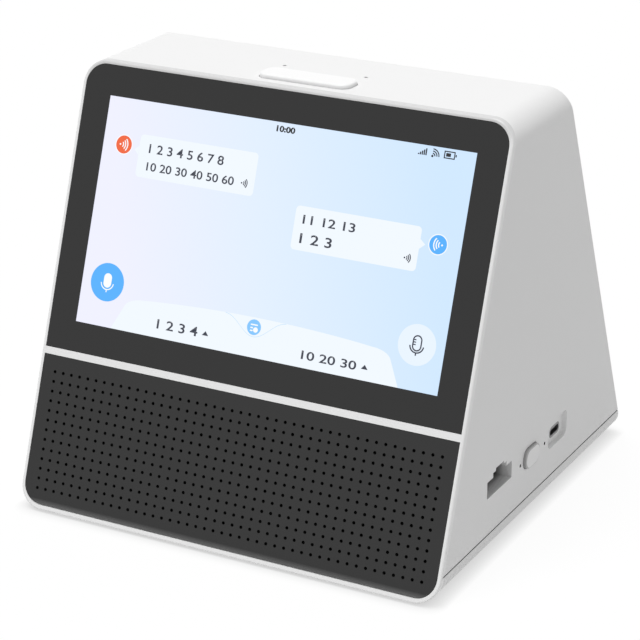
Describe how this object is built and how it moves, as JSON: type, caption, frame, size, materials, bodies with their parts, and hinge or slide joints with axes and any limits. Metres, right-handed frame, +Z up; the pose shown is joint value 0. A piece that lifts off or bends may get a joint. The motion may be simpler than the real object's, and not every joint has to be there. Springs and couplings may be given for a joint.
{
  "type": "desktop translation machine",
  "caption": "Wedge shaped table unit with a touch screen above a perforated loudspeaker front, a talk bar on top, and a power button, a network socket and a USB socket on one side.",
  "frame": {"origin": "middle of the footprint, on the table under the rubber feet", "axes": "+X to the user's right, across the front, +Y away from the user, +Z up"},
  "size_m": [0.1833, 0.1807, 0.1701],
  "materials": {
    "white_shell": "fine matte moulded white",
    "white_base": "fine matte moulded white",
    "white_rim": "fine satin moulded white",
    "white_button": "fine satin moulded white",
    "foot_rubber": "matte black",
    "cover_glass": "polished dark cover glass",
    "display": "lit display module",
    "pressed_steel": "zinc plated",
    "ribbon_film": "amber film",
    "grille_coat": "fine matte dark grey coat",
    "black_cloth": "woven acoustic cloth",
    "black_plastic": "moulded black",
    "black_foam": "closed cell foam",
    "basket_paint": "black painted steel",
    "cone_paper": "coated paper",
    "magnet_plating": "plated",
    "board_laminate": "green solder mask",
    "shield_tin": "tin plated",
    "jack_plastic": "moulded light grey",
    "contact_gilt": "gold plated",
    "usb_steel": "nickel plated",
    "light_pipe": "clear moulded",
    "led_lens": "moulded lens",
    "cell_sleeve": "shrink sleeve",
    "screw_steel": "zinc plated"
  },
  "bodies": {
    "housing": {"upper_shell": "white_shell", "base_tray": "white_base", "front_frame": "white_rim", "rubber_feet": "foot_rubber", "touch_glass": "cover_glass", "display_panel": "display", "display_bracket": "pressed_steel", "display_ribbon": "ribbon_film", "speaker_grille": "grille_coat", "grille_cloth": "black_cloth", "speaker_baffle": "black_plastic", "speaker_gaskets": "black_foam", "speaker_baskets": "basket_paint", "speaker_cones": "cone_paper", "speaker_magnets": "magnet_plating", "main_board": "board_laminate", "processor_shield": "shield_tin", "network_jack": "jack_plastic", "network_contacts": "contact_gilt", "usb_shell": "usb_steel", "usb_tongue": "black_plastic", "power_switch": "black_plastic", "status_light_pipes": "light_pipe", "status_leds": "led_lens", "talk_switches": "black_plastic", "talk_board": "board_laminate", "microphones": "contact_gilt", "microphone_seals": "foot_rubber", "battery_tray": "black_plastic", "battery_cells": "cell_sleeve", "wireless_antenna": "ribbon_film", "case_screws": "screw_steel", "board_screws": "screw_steel", "display_screws": "screw_steel", "speaker_screws": "screw_steel", "talk_board_screws": "screw_steel", "frame_screws": "screw_steel"},
    "talk_bar": {"talk_bar": "white_button", "talk_plungers": "black_plastic"},
    "power_button": {"power_button": "white_button", "power_plunger": "black_plastic"}
  },
  "joints": [
    {"name": "talk_press", "type": "slide", "parent": "housing", "child": "talk_bar", "axis": [0, 0, -1], "range_m": [0, 0.001], "stiffness_N_per_m": 2000, "springref_m": -0.0005},
    {"name": "power_press", "type": "slide", "parent": "housing", "child": "power_button", "axis": [-1, 0, 0], "range_m": [0, 0.0008], "stiffness_N_per_m": 2000, "springref_m": -0.0005}
  ]
}
